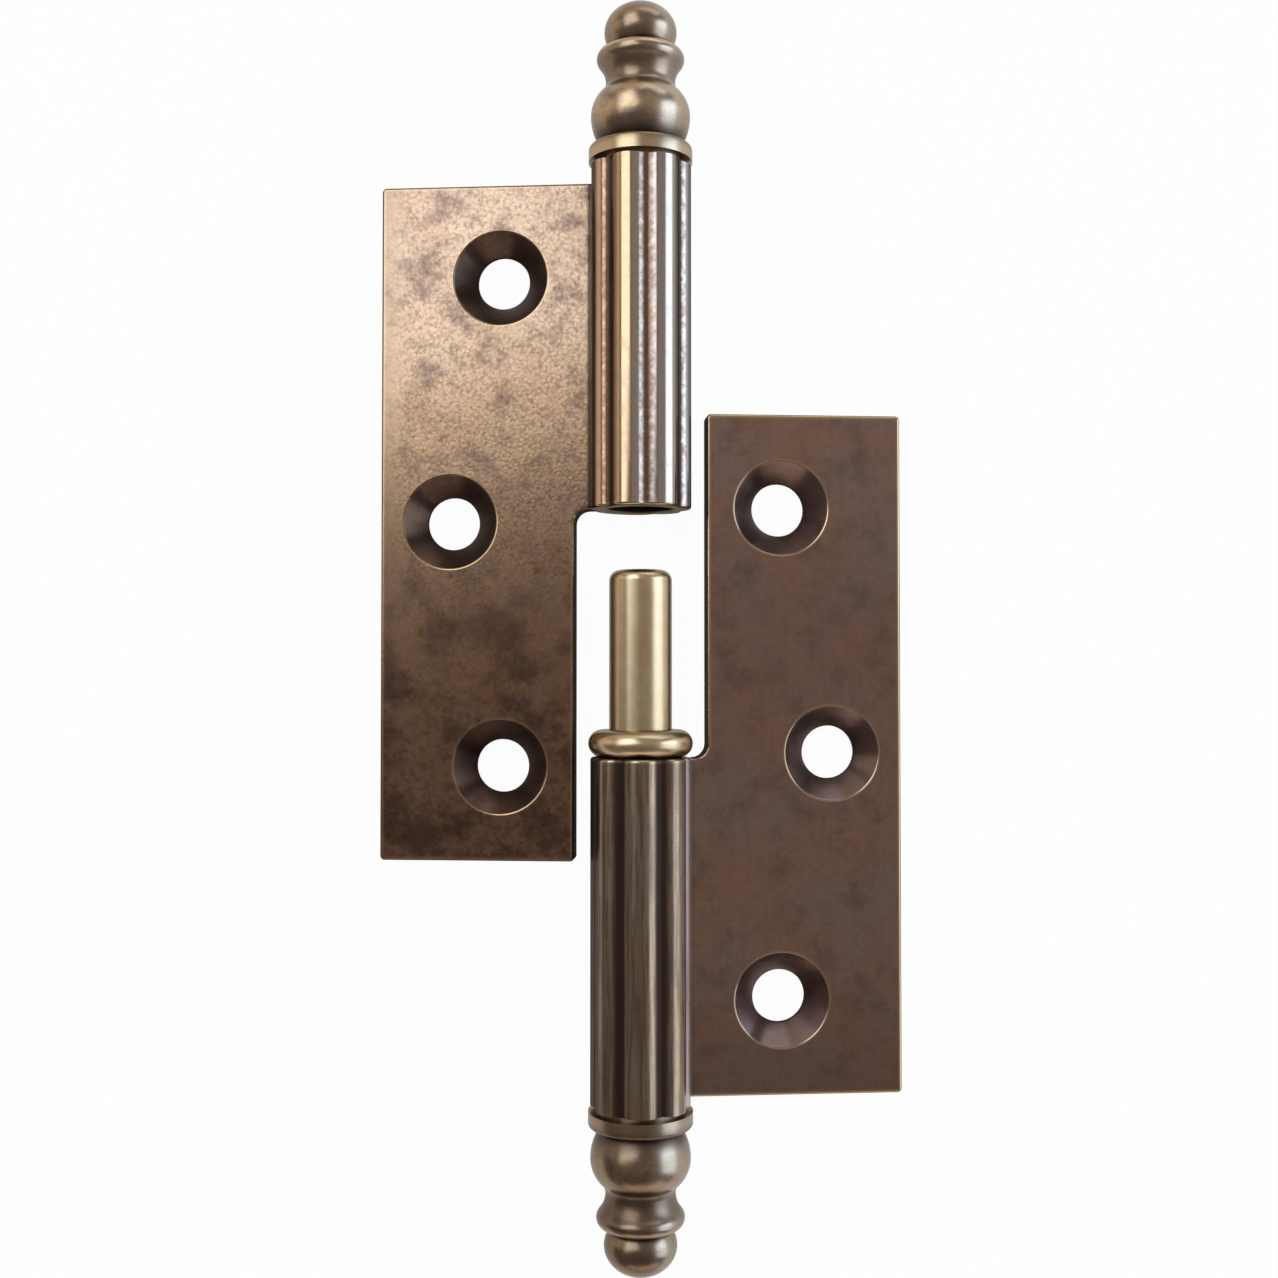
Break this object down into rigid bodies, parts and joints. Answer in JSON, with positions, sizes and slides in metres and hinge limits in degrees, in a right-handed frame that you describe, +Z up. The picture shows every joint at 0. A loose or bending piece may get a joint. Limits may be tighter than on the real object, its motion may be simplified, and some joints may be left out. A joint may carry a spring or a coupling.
{
  "type": "lift-off hinge",
  "caption": "Lift-off hinge with flat notched leaves, fluted barrels, a fixed pin with a loose ring, and turned finials, for hanging a light door.",
  "frame": {"origin": "on the floor under the pin's centre line, halfway between the tips of the finials", "axes": "+Y along the pin, from the half with the pin to the half with the socket; +Z up, out of the leaves' faces; +X towards the outer edge of the leaf with the pin"},
  "size_m": [0.054, 0.1298, 0.0107],
  "materials": {
    "leaf_bronze": "patinated, worn bright on the edges",
    "turned_bronze": "patinated and polished",
    "pin_brass": "polished"
  },
  "bodies": {
    "frame half": {"frame_leaf": "leaf_bronze", "frame_finial": "turned_bronze", "pin": "pin_brass"},
    "ring": {"ring": "pin_brass"},
    "door half": {"door_leaf": "leaf_bronze", "door_finial": "turned_bronze"}
  },
  "joints": [
    {"name": "swing", "type": "hinge", "parent": "frame half", "child": "ring", "pos_m": [0, 0, 0.00533], "axis": [0, 1, 0], "range_deg": [0, 188.7]},
    {"name": "lift", "type": "slide", "parent": "ring", "child": "door half", "axis": [0, 1, 0], "range_m": [-0.0224, 0]}
  ]
}
